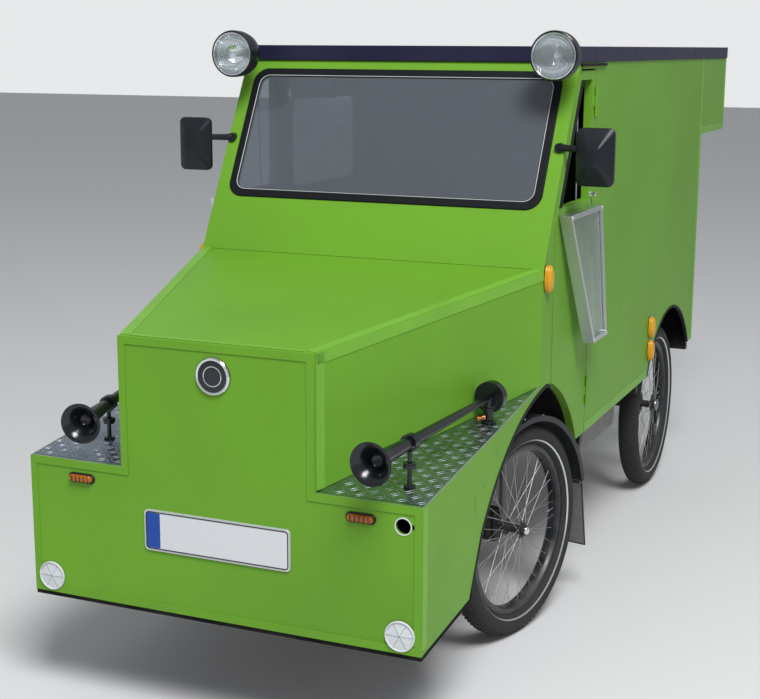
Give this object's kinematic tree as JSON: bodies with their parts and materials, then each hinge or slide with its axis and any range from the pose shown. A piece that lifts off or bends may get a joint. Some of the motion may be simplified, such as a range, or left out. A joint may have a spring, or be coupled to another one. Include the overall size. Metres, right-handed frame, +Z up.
{
  "type": "bicycle camper",
  "caption": "Pedalled four-wheeled camper with a sloped bonnet, panelled cab, boxy living space and an alcove over the rear wall.",
  "frame": {"origin": "on the ground under the middle of the whole part's box", "axes": "+X to the vehicle's left, +Y to the rear, +Z up"},
  "size_m": [1.436, 3.7058, 1.795],
  "materials": {
    "green_panel": "semi-gloss",
    "roof_paint": "semi-gloss",
    "black_rubber": "matte",
    "tyre": "matte",
    "screen_glass": "clear",
    "clear_acrylic": "clear",
    "tread_plate": "bright",
    "black_plastic": "satin",
    "black_steel": "satin",
    "chrome": "polished",
    "amber_lens": "gloss",
    "white_reflector": "gloss",
    "red_lens": "gloss",
    "plywood": "satin",
    "seat_fabric": "woven",
    "mattress_fabric": "woven",
    "grey_box": "satin",
    "bare_aluminium": "brushed",
    "steel": "brushed",
    "plate_white": "gloss",
    "guard_grey": "satin",
    "lamp_glass": "clear"
  },
  "bodies": {
    "root": {"front_panel": "green_panel", "bonnet": "green_panel", "tread_decks": "tread_plate", "box_sides": "green_panel", "nose_floor": "black_steel", "cab_posts": "green_panel", "windscreen_panel": "green_panel", "windscreen_seal": "black_rubber", "windscreen_glass": "screen_glass", "side_panel_left": "green_panel", "side_panel_right": "green_panel", "side_window": "clear_acrylic", "roof": "roof_paint", "rear_wall": "green_panel", "rear_alcove": "green_panel", "wheel_housings": "black_steel", "edge_trims": "black_rubber", "chassis_frame": "black_steel", "floor": "black_steel", "underfloor_box": "grey_box", "front_axle": "black_steel", "rear_axle": "black_steel", "crank_post": "black_steel", "seat_base": "plywood", "seat_cushions": "seat_fabric", "bunk": "plywood", "mattress": "mattress_fabric", "roof_lamp_bowls": "black_plastic", "roof_lamp_rings": "chrome", "roof_lamp_lenses": "lamp_glass", "mirrors": "black_plastic", "horns": "black_plastic", "amber_lamps": "amber_lens", "front_reflectors": "white_reflector", "number_plate": "plate_white", "bonnet_badge": "chrome", "rear_lamps": "red_lens"},
    "door_left": {"door_left": "green_panel", "window_flap_left": "bare_aluminium", "flap_pane_left": "clear_acrylic"},
    "door_right": {"door_right": "green_panel", "window_flap_right": "bare_aluminium", "flap_pane_right": "clear_acrylic"},
    "knuckle_left": {"knuckle_left": "black_steel", "mudguard_left": "guard_grey"},
    "knuckle_right": {"knuckle_right": "black_steel", "mudguard_right": "guard_grey"},
    "front_wheel_left": {"wheel_front_left": "black_steel", "tyre_front_left": "tyre"},
    "front_wheel_right": {"wheel_front_right": "black_steel", "tyre_front_right": "tyre"},
    "rear_wheel_left": {"wheel_rear_left": "black_steel", "tyre_rear_left": "tyre"},
    "rear_wheel_right": {"wheel_rear_right": "black_steel", "tyre_rear_right": "tyre"},
    "tie_rod": {"tie_rod": "steel"},
    "steering": {"steering_column": "black_steel", "handlebar": "black_plastic"},
    "crankset": {"crankset": "steel"}
  },
  "joints": [
    {"name": "door_left_swing", "type": "hinge", "parent": "root", "child": "door_left", "pos_m": [0.5645, -0.34206, 1.1], "axis": [0, 0, 1], "range_deg": [0, 75]},
    {"name": "door_right_swing", "type": "hinge", "parent": "root", "child": "door_right", "pos_m": [-0.5645, -0.34206, 1.1], "axis": [0, 0, -1], "range_deg": [0, 75]},
    {"name": "steer_left", "type": "hinge", "parent": "root", "child": "knuckle_left", "pos_m": [0.393, -0.77806, 0.326], "axis": [0, 0, 1], "range_deg": [-17.8, 42.2]},
    {"name": "steer_right", "type": "hinge", "parent": "root", "child": "knuckle_right", "pos_m": [-0.393, -0.77806, 0.326], "axis": [0, 0, 1], "range_deg": [-17.8, 42.2]},
    {"name": "column_turn", "type": "hinge", "parent": "root", "child": "steering", "pos_m": [0, -0.77806, 0.723], "axis": [0, 0, 1], "range_deg": [-17.8, 42.2]},
    {"name": "tie_rod_pivot", "type": "hinge", "parent": "knuckle_left", "child": "tie_rod", "pos_m": [0.41625, -0.67054, 0.268], "axis": [0, 0, 1], "range_deg": [-42.2, 17.8]},
    {"name": "front_left_spin", "type": "hinge", "parent": "knuckle_left", "child": "front_wheel_left", "pos_m": [0.47901, -0.79666, 0.326], "axis": [0.9774, -0.2113, 0], "continuous": true},
    {"name": "front_right_spin", "type": "hinge", "parent": "knuckle_right", "child": "front_wheel_right", "pos_m": [-0.47901, -0.75946, 0.326], "axis": [0.9774, -0.2113, 0], "continuous": true},
    {"name": "rear_left_spin", "type": "hinge", "parent": "root", "child": "rear_wheel_left", "pos_m": [0.479, 0.91094, 0.326], "axis": [1, 0, 0], "continuous": true},
    {"name": "rear_right_spin", "type": "hinge", "parent": "root", "child": "rear_wheel_right", "pos_m": [-0.479, 0.91094, 0.326], "axis": [1, 0, 0], "continuous": true},
    {"name": "crank_turn", "type": "hinge", "parent": "root", "child": "crankset", "pos_m": [0, -1.13206, 0.615], "axis": [1, 0, 0], "continuous": true}
  ],
  "couplings": [
    {"joint": "steer_right", "follows": "steer_left", "ratio": 1},
    {"joint": "column_turn", "follows": "steer_left", "ratio": 1},
    {"joint": "tie_rod_pivot", "follows": "steer_left", "ratio": -1}
  ]
}
